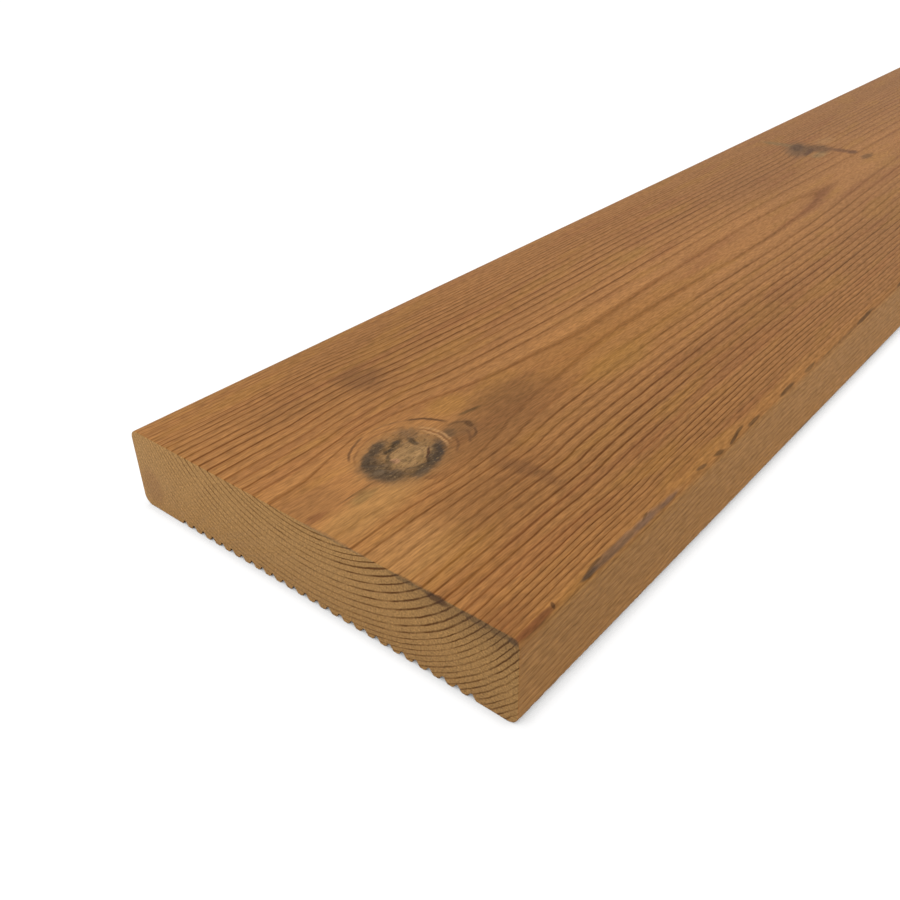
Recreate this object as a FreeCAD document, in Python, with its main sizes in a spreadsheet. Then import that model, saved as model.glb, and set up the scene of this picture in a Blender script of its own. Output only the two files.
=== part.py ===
import FreeCAD, Part

import math
import os

import Sketcher

# Decking board: one planed piece of softwood, smooth on its upper face and finely ribbed beneath.
# It lies flat with its length along X, its width along Y and its smooth face up. The origin is
# the middle of the underside. Lengths are in mm.

NODE = "decking_board"

DIMENSIONS = [
    ("board_length", "1800", "stock length along X"),
    ("board_width", "140", "planed width along Y"),
    ("board_thickness", "26", "planed thickness along Z"),
    ("arris_radius", "3", "rounding of the four long edges"),
    ("groove_pitch", "4.29", "distance between the middles of two grooves"),
    ("first_groove_inset", "19.5", "from the +Y side to the middle of the first groove"),
    ("last_groove_inset", "13", "least distance from the middle of the last groove to the -Y side"),
    ("groove_depth", "1.6", "from the underside to the bottom of a groove"),
    ("groove_mouth", "3.5", "width of a groove at the underside, with its rounded rib edges"),
    ("rib_radius", "0.85", "rounding of the rib edges"),
    ("root_radius", "0.5", "rounding at the bottom of a groove"),
    ("cutter_reach", "1", "how far below the underside the outline of a groove starts"),
]


def fill_sheet(doc):
    """Put the driving dimensions in a sheet, each under its own alias."""
    sheet = doc.addObject("Spreadsheet::Sheet", "Dimensions")
    for row, (name, value, meaning) in enumerate(DIMENSIONS, start=1):
        sheet.set(f"A{row}", name)
        sheet.set(f"B{row}", value)
        sheet.set(f"C{row}", meaning)
        sheet.setAlias(f"B{row}", name)
    doc.recompute()
    return sheet


def section_sketch(body, name):
    """Empty sketch across the board: its X axis is Y of the board, its Y axis is Z."""
    sketch = body.newObject("Sketcher::SketchObject", name)
    plane = next(f for f in body.Origin.OriginFeatures if f.Role == "YZ_Plane")
    sketch.AttachmentSupport = [(plane, "")]
    sketch.MapMode = "FlatFace"
    return sketch


def hold(sketch, *rule):
    sketch.addConstraint(Sketcher.Constraint(*rule))


def drive(sketch, name, expression, *rule):
    """Add a constraint that takes its value from the sheet."""
    index = sketch.addConstraint(Sketcher.Constraint(*rule))
    sketch.renameConstraint(index, name)
    sketch.setExpression(f"Constraints.{name}", expression)


def draw_section(sketch, width, thickness):
    """Full rectangle of the section, standing on the X axis and centred on the Y axis."""
    corners = [(-width / 2, 0), (width / 2, 0), (width / 2, thickness), (-width / 2, thickness)]
    points = [FreeCAD.Vector(y, z, 0) for y, z in corners]
    for i in range(4):
        sketch.addGeometry(Part.LineSegment(points[i], points[(i + 1) % 4]), False)
    for i in range(4):
        hold(sketch, "Coincident", i, 2, (i + 1) % 4, 1)
    for line, way in enumerate(("Horizontal", "Vertical", "Horizontal", "Vertical")):
        hold(sketch, way, line)
    hold(sketch, "Symmetric", 0, 1, 0, 2, -1, 1)
    drive(sketch, "width", "Dimensions.board_width", "DistanceX", 0, 1, 0, 2, width)
    drive(sketch, "thickness", "Dimensions.board_thickness", "DistanceY", 1, 1, 1, 2, thickness)


def draw_groove(sketch, middle, depth, mouth, rib_radius, root_radius, reach):
    """Outline of one groove: rounded rib edges, straight flanks and a rounded bottom."""
    def at(y, z):
        return FreeCAD.Vector(middle + y, z, 0)

    # Each flank is the line that touches the rounding of the rib edge and that of the bottom.
    half = mouth / 2
    rise = depth - root_radius - rib_radius
    lean = math.acos((rib_radius + root_radius) / math.hypot(half, rise)) - math.atan2(rise, half)
    across, up = math.cos(lean), math.sin(lean)
    edge = (half - rib_radius * across, rib_radius * (1 - up))
    root = (root_radius * across, depth - root_radius * (1 - up))
    upward = FreeCAD.Vector(0, 0, 1)

    def arc(y, z, radius, start, end):
        return Part.ArcOfCircle(Part.Circle(at(y, z), upward, radius), start, end)

    outline = [
        Part.LineSegment(at(-half, -reach), at(half, -reach)),
        Part.LineSegment(at(half, -reach), at(half, 0)),
        arc(half, rib_radius, rib_radius, math.pi + lean, math.pi * 1.5),
        Part.LineSegment(at(edge[0], edge[1]), at(root[0], root[1])),
        arc(0, depth - root_radius, root_radius, lean, math.pi - lean),
        Part.LineSegment(at(-root[0], root[1]), at(-edge[0], edge[1])),
        arc(-half, rib_radius, rib_radius, math.pi * 1.5, math.pi * 2 - lean),
        Part.LineSegment(at(-half, 0), at(-half, -reach)),
    ]
    base, right, right_edge, right_flank, bottom, left_flank, left_edge, left = range(8)
    for line in outline:
        sketch.addGeometry(line, False)
    centre_line = sketch.addGeometry(Part.LineSegment(at(0, 0), at(0, depth - root_radius)), True)

    hold(sketch, "Coincident", base, 2, right, 1)
    hold(sketch, "Coincident", right, 2, right_edge, 2)
    hold(sketch, "Coincident", left_edge, 1, left, 1)
    hold(sketch, "Coincident", left, 2, base, 1)
    hold(sketch, "Tangent", right_edge, 1, right_flank, 1)
    hold(sketch, "Tangent", right_flank, 2, bottom, 1)
    hold(sketch, "Tangent", bottom, 2, left_flank, 1)
    hold(sketch, "Tangent", left_flank, 2, left_edge, 2)
    hold(sketch, "Horizontal", base)
    hold(sketch, "Vertical", right)
    hold(sketch, "Vertical", left)
    hold(sketch, "Vertical", right_edge, 3, right_edge, 2)
    hold(sketch, "Vertical", left_edge, 3, left_edge, 1)
    hold(sketch, "Equal", right_edge, left_edge)
    hold(sketch, "Vertical", centre_line)
    hold(sketch, "Coincident", centre_line, 2, bottom, 3)
    hold(sketch, "PointOnObject", centre_line, 1, -1)
    hold(sketch, "PointOnObject", right, 2, -1)
    hold(sketch, "Symmetric", left, 1, right, 2, centre_line)
    drive(
        sketch, "first_groove", "Dimensions.board_width / 2 - Dimensions.first_groove_inset",
        "DistanceX", -1, 1, centre_line, 1, middle,
    )
    drive(
        sketch, "bottom_height", "Dimensions.groove_depth - Dimensions.root_radius",
        "DistanceY", centre_line, 1, centre_line, 2, depth - root_radius,
    )
    drive(sketch, "mouth", "Dimensions.groove_mouth", "DistanceX", left, 1, right, 2, mouth)
    drive(sketch, "rib_radius", "Dimensions.rib_radius", "Radius", right_edge, rib_radius)
    drive(sketch, "root_radius", "Dimensions.root_radius", "Radius", bottom, root_radius)
    drive(sketch, "reach", "Dimensions.cutter_reach", "DistanceY", right, 1, right, 2, reach)


def long_edges(shape):
    """Names of the edges that run along X."""
    names = []
    for index, edge in enumerate(shape.Edges, start=1):
        run = edge.Vertexes[-1].Point - edge.Vertexes[0].Point
        if abs(run.x) > 0.999 * run.Length > 0:
            names.append(f"Edge{index}")
    return names


def build_board(doc, sheet):
    """Plank pulled from its section, long edges rounded, underside grooved from end to end."""
    body = doc.addObject("PartDesign::Body", "Board")
    body.Label = NODE

    section = section_sketch(body, "Section")
    draw_section(section, sheet.get("board_width"), sheet.get("board_thickness"))
    plank = body.newObject("PartDesign::Pad", "Plank")
    plank.Profile = section
    plank.SideType = "Symmetric"
    plank.setExpression("Length", "Dimensions.board_length")
    doc.recompute()

    rounded = body.newObject("PartDesign::Fillet", "RoundedArrises")
    rounded.Base = (plank, long_edges(plank.Shape))
    rounded.setExpression("Radius", "Dimensions.arris_radius")
    doc.recompute()

    groove = section_sketch(body, "GrooveOutline")
    draw_groove(
        groove,
        sheet.get("board_width") / 2 - sheet.get("first_groove_inset"),
        sheet.get("groove_depth"),
        sheet.get("groove_mouth"),
        sheet.get("rib_radius"),
        sheet.get("root_radius"),
        sheet.get("cutter_reach"),
    )
    first = body.newObject("PartDesign::Pocket", "FirstGroove")
    first.Profile = groove
    first.Type = "ThroughAll"
    first.SideType = "Symmetric"
    doc.recompute()

    # Every further groove is the first one again, one pitch nearer the -Y side, as many as fit.
    insets = "Dimensions.first_groove_inset - Dimensions.last_groove_inset"
    steps = f"floor((Dimensions.board_width - {insets}) / Dimensions.groove_pitch)"
    ribbing = body.newObject("PartDesign::LinearPattern", "Ribbing")
    ribbing.Originals = [first]
    ribbing.Direction = (groove, ["H_Axis"])
    ribbing.Reversed = True
    ribbing.setExpression("Occurrences", f"{steps} + 1")
    ribbing.setExpression("Length", f"{steps} * Dimensions.groove_pitch")
    body.Tip = ribbing
    doc.recompute()

    for sketch in (section, groove):
        if not sketch.FullyConstrained:
            raise RuntimeError(f"{sketch.Name} isn't fully constrained")
    taken_once = rounded.Shape.Volume - first.Shape.Volume
    taken_in_all = rounded.Shape.Volume - ribbing.Shape.Volume
    if taken_once <= 0 or abs(taken_in_all / taken_once - ribbing.Occurrences) > 0.001:
        raise RuntimeError("the grooves aren't all cut")
    return body


def check(doc):
    """Stop on any object that failed or has no sound shape."""
    for thing in doc.Objects:
        if any(state in thing.State for state in ("Invalid", "Error")):
            raise RuntimeError(f"{thing.Name} failed: {thing.State}")
        if thing.isDerivedFrom("PartDesign::Feature") or thing.isDerivedFrom("PartDesign::Body"):
            if thing.Shape.isNull() or not thing.Shape.isValid():
                raise RuntimeError(f"{thing.Name} has no valid shape")


doc = FreeCAD.newDocument("DeckingBoard")
board = build_board(doc, fill_sheet(doc))
board.Placement = FreeCAD.Placement()
doc.recompute()
check(doc)

os.makedirs("parts", exist_ok=True)
board.Shape.exportStep(f"parts/{NODE}.step")
print(NODE, board.Shape.BoundBox, len(board.Shape.Solids), "solid,", len(board.Shape.Faces), "faces")
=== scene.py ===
import math

import bpy
from mathutils import Matrix, Vector


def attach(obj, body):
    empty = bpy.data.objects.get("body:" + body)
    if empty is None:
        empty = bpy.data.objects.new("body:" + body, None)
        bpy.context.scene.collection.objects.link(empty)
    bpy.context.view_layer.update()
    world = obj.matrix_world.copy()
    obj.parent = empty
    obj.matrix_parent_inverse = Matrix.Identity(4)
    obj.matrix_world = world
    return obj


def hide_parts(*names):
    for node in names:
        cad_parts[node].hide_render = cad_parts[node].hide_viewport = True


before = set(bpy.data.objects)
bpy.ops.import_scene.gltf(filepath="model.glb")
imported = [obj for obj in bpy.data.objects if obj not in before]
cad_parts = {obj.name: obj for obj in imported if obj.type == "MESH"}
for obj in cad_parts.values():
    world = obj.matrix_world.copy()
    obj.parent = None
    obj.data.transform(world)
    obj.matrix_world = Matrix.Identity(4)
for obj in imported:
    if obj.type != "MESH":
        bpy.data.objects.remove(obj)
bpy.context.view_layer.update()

# Decking board of heat-treated pine, planed smooth above and ribbed beneath.
# Lengths are in mm up to the moment that they are given to Blender. Along the board they are
# counted from the near end (u), across it from its middle to the left (y), up from the floor (z).

MM = 0.001
MM_PER_METRE = (1000, 1000, 1000)

# Sizes of the board, as in its source
LENGTH = 1800
WIDTH = 140
THICKNESS = 26
ARRIS_RADIUS = 3
GROOVE_PITCH = 4.29
FIRST_GROOVE_INSET = 19.5
LAST_GROOVE_INSET = 13
GROOVE_DEPTH = 1.6
GROOVE_MOUTH = 3.5
RIB_RADIUS = 0.85
ROOT_RADIUS = 0.5

# Softened edge of each sawn end
END_EASE = 0.35
END_EASE_STEPS = 3

# How finely the surface is divided: the length in stretches, each up to a distance at a step
STRETCHES = [(24, 1), (56, 0.5), (120, 1.28), (720, 3), (LENGTH, 6)]
FINE_HALF = 13
FINE_CELLS = 40
COARSE_CELL = 3
SIDE_CELLS = 7
ARC_CELLS = 6
CELLS_PER_GROOVE = 12
LAND_BORDER = 64
UNDERSIDE_SKIP = 8

# Texture of the board: its size and gap in pixels, strips with their stretches and pixels per mm
ATLAS = 1024
ATLAS_GAP = 4
STRIPS = [("top", 3, 1.6), ("left", 2, 1.0), ("right", 2, 1.0), ("under", 1, 0.54)]
END_SCALE = 2.5
UNDER_STRETCH = 1.36

# Reach of the narrow shadow on the floor beside the board
CONTACT_SHADOW = 4.3

# Wear of the surface, in mm at its deepest, and the marks that it follows: middle, half sizes, turn
# and softness. The near knot's bark is hollow, its heart isn't, and the right arris is bruised
UNEVENNESS = 0.12
KNOT_HOLLOW = 0.35
ARRIS_WEAR = 0.35
HOLLOW = ((38.5, -2.4, THICKNESS), (13.7, 10.4, 6), 10, 0.35)
HEART = ((40, -3.6, THICKNESS), (6.3, 5, 6), 0, 0.3)
BRUISE = ((60, -70, THICKNESS), (34, 2.2, 2.6), 0, 0.3)

# Knots: middle, half sizes along and across, and how far the rings bend outwards round them
NEAR_KNOT = {"middle": (39.2, -2.4), "half": (13.5, 10.7), "bend": 3.8}
FAR_KNOT = {"middle": (410, 35), "half": (11, 7), "bend": 1.6}

# How far the bend reaches, in sizes of its knot, and the depth in which a knot doubles its size
KNOT_REACH = 1.45
KNOT_GROWTH = 50

# Growth rings, from point to point along the board: how high the pith runs above the board's top,
# how far to the left, and how much wider than elsewhere the rings are. Then the radius of the first
# ring, how far aside the rings lie twice as steep, and how many rings lie within a radius counted
# from the first
PITH_HEIGHT = [(0, 50.97), (20, 51.01), (38, 50.67), (47, 50.42), (57, 50.25), (70, 50.78),
               (85, 51.41), (105, 51.76), (150, 52.09), (200, 51.96), (250, 51.81), (300, 51.96),
               (353, 52.42), (420, 52.88), (600, 53.35)]
PITH_SIDE = [(0, -2.6), (30, -2.25), (60, -1.6), (85, -1.8), (200, -1.9), (250, -2.3), (440, -2.1)]
TAPER = [(0, 1.084), (57, 1.048), (95, 1.019), (150, 1.003), (280, 1.0)]
FIRST_RING = 52.3
STEEPENING = 115
RINGS_WITHIN = [(-2, 0), (0.08, 1), (1.6, 2), (3.1, 3), (6.1, 5), (11.7, 8), (15.6, 10),
                (20.9, 13), (26, 17), (38.5, 28), (51.5, 41)]

# Beyond the part that shows well, the pith wanders: where that starts, where it is full, how far
WANDER_FROM = 450
WANDER_TO = 900
WANDER = 9.0

# Wood and its ring lines on the planed faces, on the sides and at the sawn ends
FACE_WOOD = "#B07942"
FACE_LINE = "#703D02"
SIDE_WOOD = "#A27542"
SIDE_LINE = "#7C5126"
END_WOOD = "#AF8550"
END_LINE = "#623C14"

# Lightness across and along the upper face, along the sides and across the ends, and how strong
# the ring lines are across the faces and across the ends, all from point to point
FACE_ACROSS = [(-70, 0.86), (-58, 0.9), (-42, 0.92), (-28, 0.97), (-14, 0.99), (0, 1.08),
               (14, 1.02), (28, 0.98), (42, 0.94), (58, 0.93), (70, 0.94)]
FACE_ALONG = [(0, 1.03), (30, 1.0), (80, 0.89), (140, 0.93), (230, 0.92), (330, 0.86), (420, 0.85)]
SIDE_ALONG = [(0, 0.98), (40, 1.0), (90, 1.06), (160, 1.12)]
END_ACROSS = [(-70, 0.87), (-40, 0.93), (0, 0.98), (70, 1.05)]
LINES_ACROSS = [(-70, 0.6), (-62, 0.95), (-50, 1.06), (-25, 0.86), (0, 0.75), (20, 0.8),
                (38, 1.0), (50, 1.0), (60, 0.7), (70, 0.4)]
END_LINES_ACROSS = [(-70, 1.0), (-32, 1.0), (-10, 0.7), (10, 0.62), (35, 0.62), (50, 0.5),
                    (70, 0.25)]

# Marks on the upper face: colour, share, middle (u, y), half sizes along and across, turn
STAINS = [
    ("#B98A4E", 0.5, (14, -12.8), (18, 5.5), 0),
    ("#8C5F35", 0.5, (5, 0.5), (12, 7), 0),
    ("#C08E55", 0.35, (6, -32), (18, 8), 0),
    ("#7A5029", 0.55, (68, -11), (30, 10), 6),
    ("#A07530", 0.4, (126, -18), (16, 6), 0),
    ("#9E6A29", 0.35, (140, -8), (50, 14), 0),
    ("#84522C", 0.4, (0, -63), (9, 7), 0),
    ("#7A4F2C", 0.2, (335, 26), (45, 16), 0),
    ("#7A4A24", 0.2, (175, -40), (50, 10), 0),
    ("#7A4A24", 0.25, (55, -30), (12, 6), 0),
    ("#A07530", 0.4, (210, 25.5), (12, 3), 0),
    ("#7C4A2B", 0.4, (328, -6.5), (26, 2.8), 7),
    ("#6A4324", 0.45, (64, 38), (7, 8), 0),
    ("#6A4324", 0.4, (53, -34), (2.6, 12), 0),
    ("#7A5029", 0.4, (34, -35), (14, 12), 0),
    ("#7A5029", 0.45, (84, -4), (15, 7), 0),
    ("#7A5029", 0.25, (32, 42), (10, 7), 0),
]
KNOT_SHADES = [
    ("#86663F", 0.85, (38.4, -2.4), (13.8, 10), 10),
    ("#5C4731", 0.85, (29, -3.2), (4.4, 6.4), 0),
    ("#4E3D2B", 0.85, (29.6, 3), (3.6, 1.7), 40),
    ("#524130", 0.85, (36.4, 6), (4.4, 1.8), 14),
    ("#7A5A3A", 0.7, (47.6, 4.4), (3.2, 3), 0),
    ("#42352A", 0.95, (45.2, -8.6), (6.8, 2.1), 30),
    ("#5E4A35", 0.85, (36, -11.6), (3.6, 1.8), 5),
    ("#A47E50", 0.95, (40, -4), (6.6, 4.9), 4),
    ("#5A432B", 0.85, (55, -4.7), (2.5, 2), 0),
    ("#795632", 0.55, (59.6, -5.6), (5.2, 4.2), 0),
    ("#AC7A32", 0.4, (67.5, 6), (7.5, 5), 0),
    ("#7A4E28", 0.6, (35.6, -15.6), (2.8, 1.2), -20),
    ("#7C4A28", 0.6, (3.4, -4.6), (3.4, 1.3), 0),
    ("#8A6C3C", 0.6, (17.5, -7.6), (4.8, 2), 0),
    ("#6F5031", 0.8, (407, 36), (15, 6.5), 20),
    ("#644527", 0.75, (416, 28), (8, 7), 0),
    ("#8A7A50", 0.4, (404, 23), (7, 3), 0),
    ("#6E4526", 0.75, (419.5, 17), (3.4, 6), 0),
    ("#6A4824", 0.7, (416, 1.6), (7, 2.2), 0),
    ("#80683F", 0.55, (413, 50), (3.4, 9), 0),
    ("#AC7F4E", 0.4, (434, 31.5), (9, 3.8), 0),
]
KNOT_DETAILS = [
    ("#3C2D1B", 0.85, (37.4, 2.5), (1.7, 1), 0),
    ("#3C2D1B", 0.85, (41.6, 3.5), (2.7, 1.1), 14),
    ("#463522", 0.8, (45.6, 0.2), (1.1, 2.3), -15),
    ("#6E532F", 0.6, (37.6, -4.9), (1.6, 1.3), 0),
    ("#745834", 0.5, (42, -2.6), (2.2, 1.1), 20),
    ("#6E532F", 0.5, (40.6, -7), (2.2, 0.9), 20),
    ("#46200F", 0.8, (43.8, -6.9), (3.4, 0.35), 38),
    ("#3A2414", 0.8, (41.4, -9.3), (3, 0.4), 28),
    ("#B98762", 0.7, (34.8, -2.6), (1.3, 1.2), 0),
    ("#927759", 0.6, (28.3, -3), (1.9, 1.2), 0),
    ("#4C3013", 0.7, (63, -5.8), (1.2, 1.9), -15),
    ("#5C421E", 0.75, (68.8, -1.4), (4.6, 0.6), -10),
    ("#604522", 0.6, (18, -5.1), (7, 0.3), 0),
    ("#553A22", 0.75, (411, 38), (8, 3.2), 18),
    ("#553822", 0.65, (406, 29.5), (8, 1.5), 8),
    ("#5F3A20", 0.75, (420, 10.5), (4.2, 2.2), 0),
]

# Marks on the right side's arrises and on the near end, with their heights too. The first is a
# painted highlight along the rounded right top arris
EDGE_MARKS = [
    # Painted highlight along the right top arris
    ("#B47E44", 0.4, (110, -68.4, 25.8), (120, 1.8, 1.4), 0),
    ("#784626", 0.75, (7, -69, 25.5), (7.5, 1, 1.2), 0),
    ("#452C16", 0.7, (14, -68.8, 25.8), (0.6, 1, 1), -30),
    ("#4E3319", 0.7, (6.5, -69.8, 24.9), (8.5, 0.5, 0.5), 0),
    ("#3F3122", 0.85, (28.8, -69, 25.4), (4.2, 0.65, 0.9), 0),
    ("#7C5F4A", 0.5, (50, -69, 25.4), (22, 1.2, 1.2), 0),
    ("#6B523F", 0.5, (38, -69, 25.4), (11, 1.3, 1.2), 0),
    ("#56391D", 0.75, (44, -69.9, 24.8), (18, 0.45, 0.5), 0),
    ("#5A3E20", 0.6, (31, -68.2, 25.9), (5, 0.3, 0.6), 3),
    ("#785C4A", 0.6, (54, -69, 25.4), (6, 0.9, 1), 0),
    ("#5A3E20", 0.6, (54, -68.3, 25.8), (2.6, 0.35, 0.6), 10),
    ("#6E5240", 0.65, (65.5, -69.1, 25.3), (5.5, 0.8, 1), 0),
    ("#604428", 0.7, (85.5, -68.9, 25.4), (3.6, 0.5, 0.7), -10),
    ("#5A3E20", 0.75, (94.8, -69.2, 25.2), (3.6, 0.5, 0.7), -8),
    ("#4E3319", 0.8, (102.5, -69.3, 25.2), (4, 0.5, 0.7), 8),
    ("#5A3E20", 0.7, (107.5, -68.4, 25.7), (3.4, 0.4, 0.6), 5),
    ("#5A3E20", 0.75, (116, -69.2, 25.2), (4.5, 0.55, 0.8), 3),
    ("#5A3E20", 0.75, (139.5, -69.2, 25.2), (6, 0.55, 0.8), 2),
    ("#6B4C29", 0.65, (158, -69.1, 25.3), (4.5, 0.5, 0.8), 0),
    ("#6B4C29", 0.5, (186, -69.5, 25), (22, 0.4, 0.6), 0),
    ("#5A3E20", 0.75, (207, -69.3, 25.2), (10, 0.6, 0.8), 2),
    ("#5A3E20", 0.7, (251, -69.3, 25.2), (10, 0.6, 0.8), 0),
    ("#5A3E20", 0.5, (162, -69.8, 2), (5, 0.8, 1), 0),
    ("#5A3E20", 0.5, (226, -69.8, 2), (7, 0.8, 1), 0),
    ("#6A5A48", 0.3, (0, -14, 25.7), (0.6, 12, 0.5), 0),
    ("#54422F", 0.45, (0, -36.5, 25.4), (0.6, 4, 0.9), 0),
    ("#5A4632", 0.35, (0, -43, 25.6), (0.6, 5, 0.6), 0),
    ("#4A3020", 0.75, (0, -47.2, 25), (0.6, 3.4, 1.2), 0),
    ("#4E3A2A", 0.45, (0, -61, 25.1), (0.5, 8, 1.1), 0),
    ("#55402E", 0.65, (0, -68.4, 24.9), (0.6, 1.6, 1), 0),
    ("#8A5A38", 0.3, (0, 64, 8), (1, 5, 6), 0),
]

# Lines round the near knot: colour, share, middle, half sizes, width, direction and spread
KNOT_ARCS = [
    ("#4A3B2A", 0.5, (38.4, -2.8), (10.2, 7.8), 2, 200, 150),
    ("#6A4525", 0.8, (41.5, -1.5), (18, 14.6), 0.45, 122, 28),
    ("#7A5530", 0.6, (41.5, -1.5), (18, 14.6), 0.45, 70, 18),
    ("#5F3D1E", 0.9, (41.5, -1.5), (18, 14.6), 0.6, 28, 26),
    ("#8A5C32", 0.6, (40, -2), (15.4, 12.6), 0.4, 100, 60),
    ("#C08F5C", 0.7, (40, -2), (12.6, 11), 0.5, -6, 38),
    ("#8A5C32", 0.7, (40, -2), (13.4, 11.5), 0.35, -4, 38),
    ("#C08F5C", 0.6, (40, -2), (14.4, 12), 0.5, 2, 36),
    ("#6A4525", 0.6, (41, -3), (15, 11.6), 0.45, -42, 20),
    ("#6A4525", 0.6, (42, -3), (19, 13), 0.45, -34, 16),
    ("#4A3822", 0.7, (40, -4), (7.2, 5.6), 0.6, 120, 60),
    ("#4A3822", 0.6, (40, -4), (7.4, 5.8), 0.5, -100, 50),
    ("#5C3C1E", 0.7, (57.8, -6), (5, 5.4), 0.5, -65, 45),
    ("#5C3C1E", 0.55, (58.8, -5.6), (4.6, 3.6), 0.5, 60, 50),
]

MATH = "ShaderNodeMath"
VECTOR_MATH = "ShaderNodeVectorMath"
RANGE = "ShaderNodeMapRange"
MIX = "ShaderNodeMix"
SHADE = "ShaderNodeHueSaturation"
SOFT = {"interpolation_type": "SMOOTHSTEP"}


def linear(code):
    """Turn an sRGB hex colour to Blender's linear one."""
    parts = [int(code[i:i + 2], 16) / 255 for i in (1, 3, 5)]
    return [c / 12.92 if c <= 0.04045 else ((c + 0.055) / 1.055) ** 2.4 for c in parts] + [1.0]


def put(tree, kind, *values, sockets=None, **settings):
    """Add a node with its settings, and give its inputs numbers or other nodes' outputs."""
    node = tree.nodes.new(kind)
    for name, value in settings.items():
        setattr(node, name, value)
    live = [socket for socket in node.inputs if socket.enabled]
    pairs = list(zip(live, values)) + [(node.inputs[key], v) for key, v in (sockets or {}).items()]
    for socket, value in pairs:
        if isinstance(value, bpy.types.Node):
            value = next(output for output in value.outputs if output.enabled)
        if isinstance(value, bpy.types.NodeSocket):
            tree.links.new(value, socket)
        elif value is not None:
            socket.default_value = value
    return node


# Shape

def run_of_stations():
    """Distances along the board with the inset of the eased ends: (u, inset)."""
    ease = []
    for step in range(END_EASE_STEPS):
        angle = math.pi / 2 * step / END_EASE_STEPS
        ease.append((END_EASE * (1 - math.cos(angle)), END_EASE * (1 - math.sin(angle))))
    run = list(ease)
    start = 0
    for end, step in STRETCHES:
        count = round((end - start) / step)
        for i in range(count):
            u = start + (end - start) * i / count
            run.append((max(u, END_EASE), 0))
        start = end
    run.append((LENGTH - END_EASE, 0))
    return run + [(LENGTH - u, inset) for u, inset in reversed(ease)]


def arc(middle_y, middle_z, start, end, cells):
    """Points of an arris from one angle to another: (y, z, outward y, outward z)."""
    points = []
    for i in range(cells + 1):
        angle = math.radians(start + (end - start) * i / cells)
        out = (math.cos(angle), math.sin(angle))
        place = (middle_y + ARRIS_RADIUS * out[0], middle_z + ARRIS_RADIUS * out[1])
        points.append((*place, *out))
    return points


def upper_columns():
    """Section from the left land of the underside up, over the top and down to the right one."""
    half = WIDTH / 2 - ARRIS_RADIUS
    crown = THICKNESS - ARRIS_RADIUS
    left = [(LAND_BORDER, 0, 0, -1)]
    left += arc(half, ARRIS_RADIUS, -90, 0, ARC_CELLS)
    for i in range(1, SIDE_CELLS):
        left.append((WIDTH / 2, ARRIS_RADIUS + (crown - ARRIS_RADIUS) * i / SIDE_CELLS, 1, 0))
    left += arc(half, crown, 0, 90, ARC_CELLS)
    coarse = round((half - FINE_HALF) / COARSE_CELL)
    for i in range(1, coarse):
        left.append((half - (half - FINE_HALF) * i / coarse, THICKNESS, 0, 1))
    fine = []
    for i in range(FINE_CELLS + 1):
        fine.append((FINE_HALF - 2 * FINE_HALF * i / FINE_CELLS, THICKNESS, 0, 1))
    return left + fine + [(-y, z, -out_y, out_z) for y, z, out_y, out_z in reversed(left)]


def groove_places():
    """Middle of the first and last groove, counted as in the source."""
    count = int((WIDTH - FIRST_GROOVE_INSET - LAST_GROOVE_INSET) / GROOVE_PITCH) + 1
    first = WIDTH / 2 - FIRST_GROOVE_INSET
    return first, first - (count - 1) * GROOVE_PITCH


def under_columns():
    """Flat line across the underside, divided so that each groove gets its points."""
    first, last = groove_places()
    low = last - GROOVE_PITCH / 2
    high = first + GROOVE_PITCH / 2
    cells = round((high - low) / GROOVE_PITCH * CELLS_PER_GROOVE)
    inner = [(low + (high - low) * i / cells, 0, 0, -1) for i in range(cells + 1)]
    return [(-LAND_BORDER, 0, 0, -1)] + inner + [(LAND_BORDER, 0, 0, -1)]


def girths(columns):
    """Distance round the section up to each of its points."""
    total = [0]
    for a, b in zip(columns, columns[1:]):
        total.append(total[-1] + math.hypot(b[0] - a[0], b[1] - a[1]))
    return total


def texture_rows(spans):
    """Rows of the texture, one for each stretch of each strip, as (start, pixels per mm along,
    pixels per mm round the section), and the place after the last one."""
    rows = {}
    base = ATLAS_GAP
    for name, parts, scale in STRIPS:
        stretch = UNDER_STRETCH if name == "under" else 1
        for part in range(parts):
            rows[name, part] = (base, scale, scale * stretch)
            base += (spans[name][1] - spans[name][0]) * scale * stretch + ATLAS_GAP
    return rows, base


def end_corners(columns, inset, base, shift):
    """Places of a sawn end's outline in the texture, above the rows of the strips."""
    corners = []
    for y, z, out_y, out_z in columns:
        across = y - out_y * inset + WIDTH / 2 + shift
        corners.append(((ATLAS_GAP + across * END_SCALE) / ATLAS,
                        (base + (z - out_z * inset) * END_SCALE) / ATLAS))
    return corners


def board_mesh(points, faces, corners):
    """Mesh with its place in the texture, smooth but for the last two faces, the sawn ends."""
    mesh = bpy.data.meshes.new("decking_board_blank")
    mesh.from_pydata(points, [], faces)
    layer = mesh.uv_layers.new(name="OFBake")
    flat = [value for face in corners for corner in face for value in corner]
    layer.data.foreach_set("uv", flat)
    mesh.polygons.foreach_set("use_smooth", [True] * len(faces))
    sharp = mesh.attributes.new("sharp_face", "BOOLEAN", "FACE")
    for k in (len(faces) - 2, len(faces) - 1):
        sharp.data[k].value = True
    mesh.update()
    return mesh


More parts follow.
